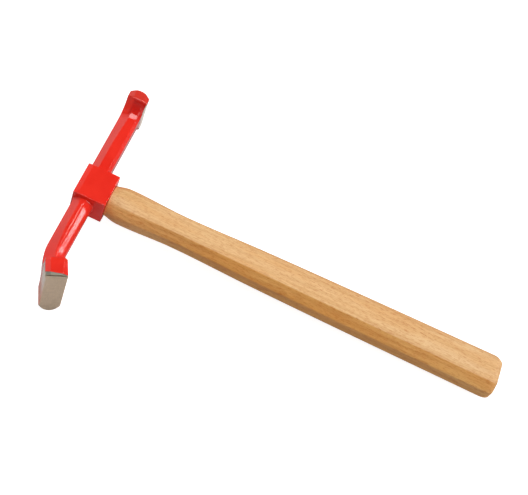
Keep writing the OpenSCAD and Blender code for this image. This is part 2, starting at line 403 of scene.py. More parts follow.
class Arm:
    """One arm: its reach, its wide end and the cuts along its bar."""

    def __init__(self, reach, lip, flare, crown, thick, wide, up, down, blind, butt, bent):
        self.root_at = BLOCK_DOWN if bent else BLOCK_UP
        self.reach = reach
        self.lip = lip
        self.flare = flare
        self.crown = crown
        self.half_thick = thick / 2
        self.half_wide = wide / 2
        self.ends = [up, down, down, up]
        self.blind = blind
        self.butt = butt
        self.back_up = BENT_UP_BACK_CUT if bent else up
        self.thinner = BENT_BUTT_SIDE_THINNER if bent else 0.0
        self.butt_edge = BENT_BUTT_EDGE if bent else ARM_EDGE
        self.side_edge = BENT_SIDE_EDGE if bent else ARM_EDGE
        self.widens = BENT_BLIND_WIDENS if bent else STRAIGHT_BLIND_WIDENS
        self.round_down = BENT_DOWN_ROUND if bent else 0.0

    def bar_cuts(self, s):
        wider = self.widens * max(0.0, s - BLIND_WIDENS_FROM)
        return mirrored((self.blind[0] + wider, self.blind[1]), self.butt)

    def section(self, s, k, back=1.0):
        """Section at the distance s, where k runs from 0 on the bar to 1 on the wide end, and back runs
        from 0 at the end face to 1 at the inner edge of the lip."""
        half_x = lerp(ARM_THICK / 2, self.half_thick, k)
        ends = list(self.ends)
        ends[3] = (lerp(ends[3][0], self.back_up[0], back), lerp(ends[3][1], self.back_up[1], back))
        cuts = [(lerp(a[0], b[0], k), lerp(a[1], b[1], k)) for a, b in zip(self.bar_cuts(s), ends)]
        high_x = ARM_X + half_x - self.thinner * k
        return octagon(ARM_X - half_x, high_x, lerp(ARM_WIDE / 2, self.half_wide, k), cuts)

    def root(self, s, swell, fillet):
        """Section of the fillet at the eye block, which stays behind the block's blind side."""
        low_x = ARM_X - ARM_THICK / 2 - ROOT_BLIND * swell - fillet
        high_x = ARM_X + ARM_THICK / 2 + ROOT_BUTT * swell + fillet
        half_z = ARM_WIDE / 2 + ROOT_SIDE_FILLET * swell
        low_x = max(low_x, BLOCK_EDGE + ROOT_BEHIND - BLOCK_LEN / 2)
        return octagon(low_x, high_x, half_z, self.bar_cuts(s))

    def sag(self, p, k):
        """Rise of a point on the lower side, which is rounded at the wide end."""
        flat = self.half_thick - self.ends[1][0]
        low = max(0.0, -p.y / lerp(ARM_WIDE / 2, self.half_wide, k)) ** DOWN_ROUND_POWER
        return self.round_down * k * ((p.x - ARM_X) / flat) ** 2 * low


BEND_TANGENT = BEND_RADIUS * math.tan(BEND_ANGLE / 2)
BEND_ARC = BEND_RADIUS * BEND_ANGLE
BEND_START = BEND_REACH - BEND_TANGENT
BENT_LENGTH = BEND_START + BEND_ARC + BENT_REACH - BEND_TANGENT

STRAIGHT_ARM = Arm(
    STRAIGHT_REACH, STRAIGHT_LIP, STRAIGHT_FLARE, STRAIGHT_CROWN, STRAIGHT_THICK, STRAIGHT_WIDE,
    STRAIGHT_UP_CUT, STRAIGHT_DOWN_CUT, STRAIGHT_BLIND_CUT, STRAIGHT_BUTT_CUT, False,
)
BENT_ARM = Arm(
    BENT_LENGTH, BENT_LIP, BENT_FLARE, 0.0, BENT_THICK, BENT_WIDE,
    BENT_UP_CUT, BENT_DOWN_CUT, BENT_BLIND_CUT, BENT_BUTT_CUT, True,
)


def straight_place(s):
    """Puts a section point (x, z) at the distance s along the straight arm."""
    return lambda p, rise=0.0: Vector((p.x, s + rise, p.y))


def bent_place(s):
    """Puts a section point (x, z) at the distance s along the bent arm."""
    turn = BEND_ANGLE * min(1.0, max(0.0, (s - BEND_START) / BEND_ARC))
    past = max(0.0, s - BEND_START - BEND_ARC)
    middle_x = ARM_X + BEND_RADIUS * (1 - math.cos(turn)) + past * math.sin(turn)
    middle_y = -(min(s, BEND_START) + BEND_RADIUS * math.sin(turn) + past * math.cos(turn))

    def place(p, rise=0.0):
        u = p.x - ARM_X
        return Vector((
            middle_x + u * math.cos(turn) + rise * math.sin(turn),
            middle_y + u * math.sin(turn) - rise * math.cos(turn),
            p.y,
        ))

    return place


def steps(count):
    return [i / count for i in range(count + 1)]


def arm_rows(arm):
    """Rows of an arm from its end to the eye block: (distance, section, edge radius, wide share, crown)."""
    rows = []
    face_top_shade = arm.reach - arm.crown
    full = arm.section(face_top_shade, 1, 0.0)
    for t in steps(LIP_EDGE_STEPS):
        inward, down = quarter_round(1 - t)
        rows.append((face_top_shade - LIP_EDGE * down, inset(full, LIP_EDGE * inward), LIP_EDGE, 1.0, arm.crown))
    back = arm.reach - arm.lip
    for t in steps(LIP_STEPS)[1:]:
        s = lerp(face_top_shade - LIP_EDGE, back + LIP_EDGE, t)
        rows.append((s, arm.section(s, 1, t), LIP_EDGE, 1.0, arm.crown * (1 - t)))
    # The hollow curve runs down from the inner edge of the lip and meets the bar at a slight kink.
    for t in steps(FLARE_STEPS):
        s = back - arm.flare * t
        k = (1 - t) * FLARE_KINK + hollow(1 - t) / hollow(1) * (1 - FLARE_STEP - FLARE_KINK)
        rows.append((s, arm.section(s, k), lerp(LIP_EDGE, ARM_EDGE, t), k, 0.0))
    bar_from = back - arm.flare
    bar_to = arm.root_at + ROOT_LEN
    for t in steps(round((bar_from - bar_to) / BAR_STEP))[1:]:
        s = lerp(bar_from, bar_to, t)
        rows.append((s, arm.section(s, 0), ARM_EDGE, 0.0, 0.0))
    for t in steps(ROOT_STEPS)[1:]:
        s = bar_to - (ROOT_LEN - ROOT_FILLET) * t
        rows.append((s, arm.root(s, hollow(t), 0.0), ARM_EDGE + t, 0.0, 0.0))
    swollen = hollow(1)
    for t in steps(FILLET_STEPS)[1:]:
        out, up = quarter_round(t)
        s = arm.root_at + ROOT_FILLET * up
        rows.append((s, arm.root(s, swollen, ROOT_FILLET * out), ARM_EDGE + 1, 0.0, 0.0))
    return rows


def block_rows():
    """Rows over the eye block from its upper face to its lower one, as (height, section)."""
    upper = []
    lower = []
    for t in steps(BLOCK_EDGE_STEPS):
        drop, inward = quarter_round(t)
        section = inset(BLOCK_SECTION, BLOCK_EDGE * inward)
        upper.append((BLOCK_UP - BLOCK_EDGE * drop, section))
        lower.append((BLOCK_EDGE * drop - BLOCK_DOWN, section))
    sides = [lerp(BLOCK_UP - BLOCK_EDGE, BLOCK_EDGE - BLOCK_DOWN, t) for t in steps(BLOCK_STEPS)]
    return upper + [(s, BLOCK_SECTION) for s in sides[1:-1]] + lower[::-1]


def in_eye(direction):
    """Edge of the oval eye in a direction (along y, along z)."""
    run = (EYE_HIGH - EYE_WIDE) / 2
    radius = EYE_WIDE / 2
    c, s = abs(direction.x), abs(direction.y)
    if s > 0 and radius / s * c <= run:
        reach = radius / s
    else:
        reach = run * c + math.sqrt((run * c) ** 2 - run ** 2 + radius ** 2)
    return direction * reach

# ---------------- head

def head_mesh():
    points = []
    faces = []

    def add_block_ring(row):
        s, section = row
        first = len(points)
        points.extend(straight_place(s)(p) for p in ring_of(section, *[BLOCK_EDGE] * 4))
        return list(range(first, len(points)))

    def add_arm_ring(arm, row, place):
        s, section, radius, k, crown = row
        first = len(points)
        down = lerp(radius, LIP_DOWN_EDGE, k)
        butt = lerp(arm.butt_edge, LIP_EDGE, k)
        butt_side = lerp(arm.side_edge, LIP_EDGE, k)
        for p in ring_of(section, radius, down, butt, butt_side):
            rise = crown * (1 - min(1.0, ((p.x - ARM_X) / arm.half_thick) ** 2))
            points.append(place(s)(Vector((p.x, p.y + arm.sag(p, k))), rise))
        return list(range(first, len(points)))

    rings = [add_arm_ring(STRAIGHT_ARM, row, straight_place) for row in arm_rows(STRAIGHT_ARM)]
    first_block = len(rings)
    rings += [add_block_ring(row) for row in block_rows()]
    last_block = len(rings) - 1
    rings += [add_arm_ring(BENT_ARM, row, bent_place) for row in arm_rows(BENT_ARM)[::-1]]

    # The two faces with the eye are left open here and closed by eye_face().
    open_rows = range(first_block + BLOCK_EDGE_STEPS, last_block - BLOCK_EDGE_STEPS)
    spans = []
    for side in (2, 6):
        start = side_start(side)
        spans.append((start, start + FLAT_POINTS["along"] + 1))
    for i in range(len(rings) - 1):
        for j, quad in enumerate(stitch(rings[i], rings[i + 1])):
            if i not in open_rows or not any(a <= j < b for a, b in spans):
                faces.append(quad)

    mouths = []
    for a, b in spans:
        border = [rings[i][a] for i in range(open_rows[0], open_rows[-1] + 2)]
        border += [rings[open_rows[-1] + 1][j] for j in range(a + 1, b + 1)]
        border += [rings[i][b] for i in range(open_rows[-1], open_rows[0] - 1, -1)]
        border += [rings[open_rows[0]][j] for j in range(b - 1, a, -1)]
        mouths.append(eye_face(points, faces, border))
    blind, front = [sorted(mouth, key=lambda v: angle_of(points[v])) for mouth in mouths]
    faces += stitch(blind, front)

    across = cap_sides()
    cap_grid(points, faces, rings[0], across[0], across[1], on_crown)
    cap_grid(points, faces, rings[-1], across[0], across[1], unmoved)
    return points, faces


def angle_of(p):
    return math.atan2(p[2], p[1])


def on_crown(p):
    """The point moved along the head onto the rounded end of the straight arm."""
    drop = STRAIGHT_CROWN * ((p.x - ARM_X) / (STRAIGHT_THICK / 2)) ** 2
    return Vector((p.x, STRAIGHT_REACH - drop, p.z))


def cap_sides():
    """Corner and width of the grid on an end face: its corners are in the middle of the chamfers."""
    first = side_start(7) + (FLAT_POINTS["cut"] + 1) // 2
    second = side_start(1) + (FLAT_POINTS["cut"] + 1) // 2
    total = sum(CORNER_POINTS + FLAT_POINTS[side] for side in SIDES)
    return first, (second - first) % total


def eye_face(points, faces, border):
    """Face of the eye block between its border and the rounded mouth of the eye. Returns the inner ring."""
    x = points[border[0]].x
    outward = math.copysign(1, x)
    previous = border
    mouth = [in_eye(Vector((points[v].y, points[v].z)).normalized()) for v in border]
    for share in MOUTH_SHARES:
        ring = []
        for v, m in zip(border, mouth):
            edge = m + m.normalized() * EYE_EDGE
            ring.append(len(points))
            points.append(Vector((x, lerp(points[v].y, edge.x, share), lerp(points[v].z, edge.y, share))))
        faces += stitch(previous, ring)
        previous = ring
    for t in steps(MOUTH_STEPS)[1:]:
        inward, wider = quarter_round(t)
        ring = []
        for m in mouth:
            edge = m + m.normalized() * EYE_EDGE * wider
            ring.append(len(points))
            points.append(Vector((x - outward * EYE_EDGE * inward, edge.x, edge.y)))
        faces += stitch(previous, ring)
        previous = ring
    return previous

# ---------------- bare steel on the head

# The ground strip at the bent end's face is widest on the blind side. Each ground side reaches a little
# past the edges of its flat, and starts at its own distance along the head.
STRIP_WIDE = 3.2
STRIP_NARROW = 0.9
BARE_SIDE_FROM = 12.6
BARE_SIDE_ABOVE = 3.0
LENS_SLOPE = 0.8
BENT_SIDE_DEEP = 0.5
STRAIGHT_BARE_FROM = 73.5
STRAIGHT_SIDE_DEEP = 0.45
STRAIGHT_SIDE_ABOVE = 0.3
SIDE_SHARPNESS = 2.0


def bent_coordinates(p):
    """Distance past the bent end's face, negative before it, and offset towards the handle of a point."""
    tip = bent_place(BENT_LENGTH)(Vector((ARM_X, 0)))
    dx, dy = p.x - tip.x, p.y - tip.y
    along = dx * math.sin(BEND_ANGLE) - dy * math.cos(BEND_ANGLE)
    offset = dx * math.cos(BEND_ANGLE) + dy * math.sin(BEND_ANGLE)
    return along, offset


def side_depth(p):
    """How far a point lies inside the ground sides of the two wide ends, negative outside them."""
    if p.y < 0:
        along, offset = bent_coordinates(p)
        lens = (BENT_WIDE / 2 - BENT_DOWN_CUT[1] + BARE_SIDE_ABOVE - abs(p.z)) * LENS_SLOPE
        return min(BENT_SIDE_DEEP - offset - BENT_THICK / 2, along + BARE_SIDE_FROM, lens)
    from_side = p.x - ARM_X - STRAIGHT_THICK / 2 + STRAIGHT_SIDE_DEEP
    wing = STRAIGHT_WIDE / 2 - STRAIGHT_DOWN_CUT[1] + STRAIGHT_SIDE_ABOVE - abs(p.z)
    return min(from_side, p.y - STRAIGHT_BARE_FROM, wing)


def bare_depth(p):
    """How far, in millimetres, a point of the head lies inside bare ground steel; negative under paint."""
    if p.y > 0:
        return side_depth(p)
    along, offset = bent_coordinates(p)
    k = min(1.0, max(0.0, offset / BENT_THICK + 0.5))
    return max(along + lerp(STRIP_WIDE, STRIP_NARROW, k), side_depth(p))


def side_share(p):
    """1 on the ground sides of the wide ends and 0 on the ground end face."""
    return min(1.0, max(0.0, 0.5 + side_depth(p) * SIDE_SHARPNESS))

# ---------------- handle

def key_slope(i, c):
    low = max(0, i - 1)
    high = min(len(HANDLE_KEYS) - 1, i + 1)
    return (HANDLE_KEYS[high][c] - HANDLE_KEYS[low][c]) / (HANDLE_KEYS[high][0] - HANDLE_KEYS[low][0])


def handle_curve(x, c):
    """Smooth curve through column c of the handle's key sections."""
    i = max([0] + [k for k in range(len(HANDLE_KEYS) - 1) if HANDLE_KEYS[k][0] <= x])
    a, b = HANDLE_KEYS[i], HANDLE_KEYS[i + 1]
    d = b[0] - a[0]
    t = min(1.0, (x - a[0]) / d)
    start = a[c] * (2 * t ** 3 - 3 * t ** 2 + 1) + d * key_slope(i, c) * (t ** 3 - 2 * t ** 2 + t)
    end = b[c] * (3 * t ** 2 - 2 * t ** 3) + d * key_slope(i + 1, c) * (t ** 3 - t ** 2)
    return start + end


def grip_share(cosine, sine):
    """Radius share of an eight-sided outline with slightly eased edges."""
    u, v = abs(cosine), abs(sine)
    slant = (u * (1 - FLAT_NARROW) + v * (1 - FLAT_BROAD)) / (1 - FLAT_BROAD * FLAT_NARROW)
    total = u ** FACET_SHARPNESS + v ** FACET_SHARPNESS + slant ** FACET_SHARPNESS
    return total ** (-1 / FACET_SHARPNESS)


HANDLE_SIDES = 128
BODY_STEPS = 110
RIM_STEPS = 12
TENON_STEPS = 6
TENON_EDGE_STEPS = 3
HEEL_STEPS = 4


def handle_ring(x, half_y, half_z):
    facet = min(1.0, max(0.0, (x - FACET_FROM) / (FACET_TO - FACET_FROM)))
    ring = []
    for cosine, sine in round_about(HANDLE_SIDES):
        share = 1 + facet * (grip_share(cosine, sine) - 1)
        ring.append(Vector((x, half_y * share * cosine, half_z * share * sine)))
    return ring


def body_ring(x, ease=0.0):
    return handle_ring(x, handle_curve(x, 1) - ease, handle_curve(x, 2) - ease)


def tenon_ring(x, gap):
    ring = []
    for direction in round_about(HANDLE_SIDES):
        spot = in_eye(Vector(direction))
        spot -= spot.normalized() * gap
        ring.append(Vector((x, spot.x, spot.y)))
    return ring


def handle_mesh():
    shoulder = BLOCK_LEN / 2
    body_end = HANDLE_REACH - BUTT_RIM - BUTT_SHORT
    rim_inset = BUTT_RIM * RIM_DRAW * (1 - math.cos(RIM_TURN))
    tenon_end = -shoulder + TENON_RECESS
    rings = [tenon_ring(tenon_end, DRIVE_GAP + 2 * TENON_EDGE)]
    for t in steps(TENON_EDGE_STEPS):
        rings.append(tenon_ring(tenon_end + TENON_EDGE * (2 + t), DRIVE_GAP + TENON_EDGE * (1 - t)))
    for t in steps(TENON_STEPS)[1:]:
        rings.append(tenon_ring(lerp(tenon_end + 3 * TENON_EDGE, shoulder, t), DRIVE_GAP))
    tenon = tenon_ring(shoulder, DRIVE_GAP)
    heel = body_ring(shoulder, HEEL_EDGE)
    for t in steps(HEEL_STEPS)[1:]:
        rings.append([a.lerp(b, t) for a, b in zip(tenon, heel)])
    for t in steps(HEEL_STEPS)[1:]:
        on, ease = quarter_round(t)
        rings.append(body_ring(shoulder + HEEL_EDGE * on, HEEL_EDGE * ease))
    for t in steps(BODY_STEPS)[1:]:
        rings.append(body_ring(lerp(shoulder + HEEL_EDGE, body_end, t)))
    for t in steps(RIM_STEPS)[1:]:
        angle = RIM_TURN * t
        draw = rim_inset * (1 - math.cos(angle)) / (1 - math.cos(RIM_TURN))
        x = body_end + BUTT_RIM * math.sin(angle) / math.sin(RIM_TURN)
        rings.append(handle_ring(x, BUTT_HIGH / 2 - draw, BUTT_WIDE / 2 - draw))
    return tube(rings)

# ---------------- wedges

WEDGE_SIDES = 32
WEDGE_SQUARENESS = 14
WEDGE_STEPS = 8
POINT_SHARE = 1 / 6


def taper_mesh(deep, thick, half_wide, recess, edge, swap):
    """Wedge with eased edges: thick at its driven end, thin at its point."""
    rings = []
    outer = -BLOCK_LEN / 2 + recess
    rows = [(0.0, edge)] + [(edge * t, edge * (1 - math.sin(math.pi / 2 * t))) for t in (0.35, 0.7, 1.0)]
    rows += [(lerp(edge, deep - recess, t), 0.0) for t in steps(WEDGE_STEPS)[1:]]
    for s, ease in rows:
        half_thick = lerp(thick / 2, thick / 2 * POINT_SHARE, s / deep) - ease
        reach = half_wide - ease
        ring = []
        for c, d in round_about(WEDGE_SIDES):
            soft = (abs(c) ** WEDGE_SQUARENESS + abs(d) ** WEDGE_SQUARENESS) ** (-1 / WEDGE_SQUARENESS)
            y, z = reach * c * soft, half_thick * d * soft
            ring.append(Vector((outer + s, z, y)) if swap else Vector((outer + s, y, z)))
        rings.append(ring)
    return tube(rings)

# ---------------- materials

class Nodes:
    """A material's node tree, with a short way to add and join nodes."""

    def __init__(self, name):
        self.material = bpy.data.materials.new(name)
        self.material.use_nodes = True
        self.tree = self.material.node_tree
        self.tree.nodes.clear()
        self.shader = self.add("ShaderNodeBsdfPrincipled")
        output = self.add("ShaderNodeOutputMaterial")
        self.join(self.shader.outputs["BSDF"], output.inputs["Surface"])
        self.place = self.tool_place()

    def add(self, kind, **settings):
        node = self.tree.nodes.new(kind)
        for key, value in settings.items():
            if key in node.inputs:
                node.inputs[key].default_value = value
            else:
                setattr(node, key, value)
        return node

    def join(self, source, target):
        self.tree.links.new(source, target)

    def feed(self, socket, value):
        """A number or a colour is set on the socket itself, and another node's output is joined to it."""
        if isinstance(value, tuple):
            socket.default_value = (*value, 1.0)
        elif isinstance(value, (int, float)):
            socket.default_value = value
        else:
            self.join(value, socket)

    def look(self, name, value):
        self.feed(self.shader.inputs[name], value)

    def tool_place(self):
        """Position in the tool's frame, in millimetres."""
        coordinates = self.add("ShaderNodeTexCoord")
        mapping = self.add("ShaderNodeMapping", vector_type="TEXTURE")
        mapping.inputs["Location"].default_value = LAID.to_translation()
        mapping.inputs["Rotation"].default_value = LAID.to_3x3().normalized().to_euler()
        mapping.inputs["Scale"].default_value = (MM, MM, MM)
        self.join(coordinates.outputs["Object"], mapping.inputs["Vector"])
        return mapping.outputs["Vector"]

    def parts(self, source):
        split = self.add("ShaderNodeSeparateXYZ")
        self.join(source, split.inputs[0])
        return split.outputs[0], split.outputs[1], split.outputs[2]

    def stretched(self, source, scale):
        mapping = self.add("ShaderNodeMapping")
        mapping.inputs["Scale"].default_value = scale
        self.join(source, mapping.inputs["Vector"])
        return mapping.outputs["Vector"]

    def noise(self, source, scale, detail=2.0, roughness=0.5):
        node = self.add("ShaderNodeTexNoise", Scale=scale, Detail=detail, Roughness=roughness)
        self.join(source, node.inputs["Vector"])
        return node.outputs["Fac"]

    def grain(self, scale, detail, roughness=0.5):
        """Noise with its own scale along each axis of the tool."""
        return self.noise(self.stretched(self.place, scale), 1.0, detail, roughness)

    def ramp(self, source, low, high, to_low=0.0, to_high=1.0):
        """Value moved smoothly from the range low..high to the range to_low..to_high."""
        node = self.add("ShaderNodeMapRange", interpolation_type="SMOOTHSTEP")
        names = ("From Min", "From Max", "To Min", "To Max", "Value")
        for name, value in zip(names, (low, high, to_low, to_high, source)):
            self.feed(node.inputs[name], value)
        return node.outputs["Result"]

    def math(self, operation, a, b=0.0, c=0.0):
        node = self.add("ShaderNodeMath", operation=operation)
        for socket, value in zip(node.inputs, (a, b, c)):
            self.feed(socket, value)
        return node.outputs["Value"]

    def times(self, a, b):
        return self.math("MULTIPLY", a, b)

    def mix(self, share, a, b, blend="MIX"):
        node = self.add("ShaderNodeMix", data_type="RGBA", blend_type=blend)
        for socket, value in zip((node.inputs[0], node.inputs[6], node.inputs[7]), (share, a, b)):
            self.feed(socket, value)
        return node.outputs[2]

    def bump(self, height, distance, after=None):
        node = self.add("ShaderNodeBump", Distance=distance * MM, Strength=1.0)
        self.join(height, node.inputs["Height"])
        if after is not None:
            self.join(after, node.inputs["Normal"])
        return node.outputs["Normal"]

    def attribute(self, name):
        return self.add("ShaderNodeAttribute", attribute_name=name).outputs["Fac"]


RED = (0.88, 0.030, 0.016)
RED_DEEP = (0.82, 0.023, 0.012)
RED_EDGE = (0.88, 0.050, 0.030)
# Painted shade: colour of the enamel in the hollow before the straight tip.
RED_HOLLOW_SHADE = (0.62, 0.014, 0.009)
RED_TIP = (0.68, 0.040, 0.026)
STEEL_LIGHT = (0.87, 0.70, 0.53)
STEEL_DARK = (0.66, 0.50, 0.36)
STRIP_TONE = (0.23, 0.225, 0.18)
# Painted shade: colour of the dark line along the top of the bent end's face.
FACE_TOP_SHADE_TONE = (0.11, 0.085, 0.055)
SIDE_PALE = (1.0, 0.88, 0.79)
SIDE_TINTED = (0.92, 0.36, 0.27)
GROUND_PALE = (0.90, 0.88, 0.83)
SMEAR = (0.10, 0.085, 0.07)
# Places, in millimetres: uneven enamel on the bent arm; on the straight arm, painted shade in the hollow
# before the tip and a darker red at the tip.
LUMPY_MIDDLE = 38.0
LUMPY_HALF = 18.0
LUMPY_FADE = 3.0
HOLLOW_SHADE_FROM = (66.0, 73.0)
HOLLOW_SHADE_BLIND = (-6.5, -4.5)
TIP_FROM = (77.2, 78.0)
# Ground strip and painted shade line at the bent end's face: depths below its upper side and distances past
# the face.
STRIP_TOP = (1.5, 0.9)
STRIP_TO = (-0.7, -0.4)
# The bent end's ground side is tinted red low down and pale above.
TINT_MIDDLE = 8.0
TINT_SPAN = 16.0
BARE_RAGGED = 0.5
PAINT_ROUGH = (0.08, 0.13)
DULL_ROUGH = 0.10
STEEL_ROUGH = (0.45, 0.60)
# Depths of the relief, in millimetres.
PEEL_DEPTH = 0.045
LUMP_DEPTH = 0.016
FILM_DEPTH = 0.06
SCRATCH_DEPTH = 0.05


def enamel_colour(m):
    """Slightly cloudy red, with painted shade in the hollow before the straight tip, a darker red at the
    tip and paler on worn edges.
    """
    x, y, _ = m.parts(m.place)
    cloud = m.noise(m.place, 0.07, 2.0)
    speck = m.noise(m.place, 1.4, 4.0, 0.7)
    paint = m.mix(m.ramp(cloud, 0.3, 0.7), RED, RED_DEEP)
    # Painted shade darkens the enamel in the hollow before the straight tip, except on its blind side.
    hollow_shade = m.times(m.ramp(y, *HOLLOW_SHADE_FROM), m.ramp(y, *TIP_FROM, 1.0, 0.0))
    hollow_shade = m.times(hollow_shade, m.ramp(x, *HOLLOW_SHADE_BLIND))
    paint = m.mix(hollow_shade, paint, RED_HOLLOW_SHADE)
    paint = m.mix(m.ramp(y, *TIP_FROM), paint, RED_TIP)
    worn = m.times(m.attribute("edge"), m.ramp(speck, 0.42, 0.62))
    return m.mix(m.times(worn, 0.4), paint, RED_EDGE)


def steel_colour(m, grind, side):
    """Ground steel with a grey strip at the bent end's face, painted shade as a dark line along the top of
    that face, and tinted or pale sides.
    """
    x, y, z = m.parts(m.place)
    tip = bent_place(BENT_LENGTH)(Vector((ARM_X, 0)))
    sine, cosine = math.sin(BEND_ANGLE), math.cos(BEND_ANGLE)
    along = m.math("MULTIPLY_ADD", x, sine, tip.y * cosine - tip.x * sine)
    along = m.math("MULTIPLY_ADD", y, -cosine, along)
    top = m.ramp(z, BENT_WIDE / 2 - STRIP_TOP[0], BENT_WIDE / 2 - STRIP_TOP[1])
    before_face = m.ramp(along, *STRIP_TO, 1.0, 0.0)

    mottle = m.noise(m.place, 0.35, 3.0, 0.6)
    blend = m.math("MULTIPLY_ADD", mottle, 0.35, m.times(grind, 0.65))
    steel = m.mix(m.ramp(blend, 0.2, 0.8), STEEL_DARK, STEEL_LIGHT)
    steel = m.mix(m.times(top, before_face), steel, STRIP_TONE)
    # Painted shade: a dark line along the top of the bent end's face, next to the ground strip.
    face_top_shade = m.times(top, m.math("SUBTRACT", 1.0, before_face))
    steel = m.mix(m.times(face_top_shade, 0.85), steel, FACE_TOP_SHADE_TONE)

    film = m.math("MULTIPLY_ADD", mottle, TINT_SPAN, m.math("ADD", z, -TINT_MIDDLE))
    tinted = m.mix(m.ramp(film, -TINT_SPAN, TINT_SPAN), SIDE_TINTED, SIDE_PALE)
    ground = m.mix(m.ramp(grind, 0.35, 0.65, 0.0, 0.45), GROUND_PALE, STEEL_LIGHT)
    return m.mix(side, steel, m.mix(m.math("LESS_THAN", y, 0.0), ground, tinted))


def lumpy_share(m):
    """1 where the enamel on the bent arm is uneven."""
    y = m.parts(m.place)[1]
    from_lumps = m.math("ABSOLUTE", m.math("ADD", y, LUMPY_MIDDLE))
    return m.ramp(from_lumps, LUMPY_HALF, LUMPY_HALF + LUMPY_FADE, 1.0, 0.0)


def head_roughness(m, bare, grind, lumpy):
    paint = m.ramp(m.noise(m.place, 0.5, 3.0), 0.3, 0.7, *PAINT_ROUGH)
    dull = m.times(m.ramp(m.noise(m.place, 0.7, 2.0), 0.50, 0.62), lumpy)
    paint = m.math("MULTIPLY_ADD", dull, DULL_ROUGH, paint)
    rough = m.add("ShaderNodeMix", data_type="FLOAT")
    m.join(bare, rough.inputs[0])
    m.join(paint, rough.inputs[2])
    m.join(m.ramp(grind, 0.3, 0.7, *STEEL_ROUGH), rough.inputs[3])
    return rough.outputs[0]


def head_relief(m, bare, grind, lumpy):
    """Orange peel and lumps in the enamel, its edge, and scratches in the bare steel."""
    painted = m.math("SUBTRACT", 1.0, bare)
    peel = m.math("ADD", m.noise(m.place, 0.5, 2.0), m.times(m.noise(m.place, 1.3, 1.0), 0.35))
    skin = m.bump(m.times(peel, painted), PEEL_DEPTH)
    lumps = m.times(m.noise(m.place, 0.75, 2.0, 0.6), m.times(lumpy, painted))
    skin = m.bump(lumps, LUMP_DEPTH, after=skin)
    step = m.bump(painted, FILM_DEPTH, after=skin)
    return m.bump(m.times(grind, bare), SCRATCH_DEPTH, after=step)


def painted_steel():
    """Glossy red enamel with bare ground steel where the field bare_depth is above zero."""
    m = Nodes("head_paint_look")
    ragged = m.math("MULTIPLY_ADD", m.noise(m.place, 0.55, 3.0), BARE_RAGGED, -BARE_RAGGED / 2)
    depth = m.math("ADD", m.attribute("bare_depth"), ragged)
    bare = m.ramp(depth, -0.06, 0.06)
    side = m.attribute("ground_side")
    grind = m.noise(m.stretched(m.place, (1.0, 1.0, 0.06)), 3.2, 3.0, 0.6)
    lumpy = lumpy_share(m)

    edge_line = m.times(bare, m.ramp(depth, 0.05, 0.40, 1.0, 0.0))
    steel = m.mix(m.times(edge_line, 0.6), steel_colour(m, grind, side), SMEAR)
    m.look("Base Color", m.mix(bare, enamel_colour(m), steel))
    metal = m.times(bare, m.math("MULTIPLY_ADD", side, -0.65, 0.85))
    m.look("Metallic", metal)
    m.look("Roughness", head_roughness(m, bare, grind, lumpy))
    m.look("Specular IOR Level", 0.45)
    m.look("Normal", head_relief(m, bare, grind, lumpy))
    return m.material


WOOD_PALE = (0.81, 0.505, 0.225)
WOOD_WARM = (0.77, 0.43, 0.165)
WOOD_STREAK = (0.60, 0.29, 0.09)
WOOD_RING = (0.58, 0.28, 0.09)
WOOD_PORE = (0.56, 0.20, 0.045)
SIDE_GRAIN = (1.0, 0.82, 0.51)
BUTT_GRAIN = (1.0, 1.06, 1.20)
# Growth rings, in millimetres: place of the pith beside the axis, gap between rings, how much they drift
# and wander, and the slope of the grain against the axis.
PITH = (38.0, 9.0)
RING_GAP = 3.1
RING_DRIFT = 18.0
RING_WANDER = 5.0
GRAIN_SLOPE = (0.018, -0.012)
# Stretches of the handle over which the sides grow darker and the wood greyer.
SIDE_GRAIN_OVER = (20.0, 110.0)
SIDE_GRAIN_LEAST = 0.45
BUTT_GRAIN_OVER = (170.0, 300.0)
PORE_SHARE = 0.72
PORE_DEPTH = 0.02


def growth_rings(m, x, y, z):
    """Share of early wood, which has the pores, in solid growth rings round a distant pith."""
    drift = m.grain((0.011, 0.05, 0.05), 2.0, 0.45)
    wander = m.grain((0.045, 0.16, 0.16), 2.0, 0.5)
    y = m.math("SUBTRACT", m.math("MULTIPLY_ADD", x, GRAIN_SLOPE[0], y), PITH[0])
    z = m.math("SUBTRACT", m.math("MULTIPLY_ADD", x, GRAIN_SLOPE[1], z), PITH[1])
    radius = m.math("SQRT", m.math("ADD", m.times(y, y), m.times(z, z)))
    radius = m.math("ADD", radius, m.times(drift, RING_DRIFT))
    radius = m.math("ADD", radius, m.times(wander, RING_WANDER))
    phase = m.math("FRACT", m.math("DIVIDE", radius, RING_GAP))
    early = m.times(m.ramp(phase, 0.0, 0.15), m.ramp(phase, 0.2, 0.85, 1.0, 0.0))
    patches = m.grain((0.02, 0.14, 0.14), 2.0)
    return m.times(early, m.ramp(patches, 0.40, 0.62, 0.1, 1.0))


def facing_sides(m):
    """1 on the handle's narrow sides, which show the rings edge on."""
    facing = m.add("ShaderNodeVectorMath", operation="DOT_PRODUCT")
    m.join(m.add("ShaderNodeNewGeometry").outputs["Normal"], facing.inputs[0])
    facing.inputs[1].default_value = (LAID.to_3x3() @ Vector((0, 1, 0))).normalized()
    return m.ramp(m.math("ABSOLUTE", facing.outputs["Value"]), 0.35, 0.72)


